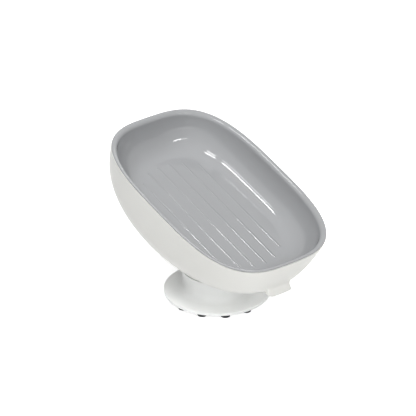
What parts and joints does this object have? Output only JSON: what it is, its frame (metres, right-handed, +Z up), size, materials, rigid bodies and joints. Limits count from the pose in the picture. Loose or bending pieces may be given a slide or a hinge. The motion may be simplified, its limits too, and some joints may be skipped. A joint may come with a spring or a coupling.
{
  "type": "soap dish",
  "caption": "Tilted oval soap dish: a white bowl with a pouring spout swivels on a round pedestal held by suction cups, and a ribbed grey tray lifts out.",
  "frame": {"origin": "on the surface the dish stands on, under the middle of the whole dish", "axes": "+Z up; +X towards the spout at the bowl's low end, along the dish's length; +Y across it"},
  "size_m": [0.1425, 0.0908, 0.091],
  "materials": {
    "shell_white": "satin warm white",
    "pedestal_white": "satin cool white",
    "tray_grey": "polished mid grey",
    "cup_rubber": "smooth dark rubber",
    "friction_rubber": "matt black rubber",
    "acetal": "natural",
    "screw_steel": "stainless"
  },
  "bodies": {
    "base": {"pedestal": "pedestal_white", "bearing_ring": "acetal", "suction_cup_01": "cup_rubber", "suction_cup_02": "cup_rubber", "suction_cup_03": "cup_rubber", "suction_cup_04": "cup_rubber", "suction_cup_05": "cup_rubber", "suction_cup_06": "cup_rubber", "suction_cup_07": "cup_rubber", "suction_cup_08": "cup_rubber", "suction_cup_09": "cup_rubber", "suction_cup_10": "cup_rubber", "suction_cup_11": "cup_rubber", "suction_cup_12": "cup_rubber"},
    "dish": {"outer_shell": "shell_white", "friction_ring": "friction_rubber", "pivot_retainer": "acetal", "pivot_screw": "screw_steel"},
    "tray": {"inner_tray": "tray_grey"}
  },
  "joints": [
    {"name": "dish_swivel", "type": "hinge", "parent": "base", "child": "dish", "pos_m": [0.00375, 0, 0.018], "axis": [0, 0, 1], "continuous": true},
    {"name": "tray_lift", "type": "slide", "parent": "dish", "child": "tray", "axis": [0.2924, 0, 0.9563], "range_m": [0, 0.045]}
  ]
}
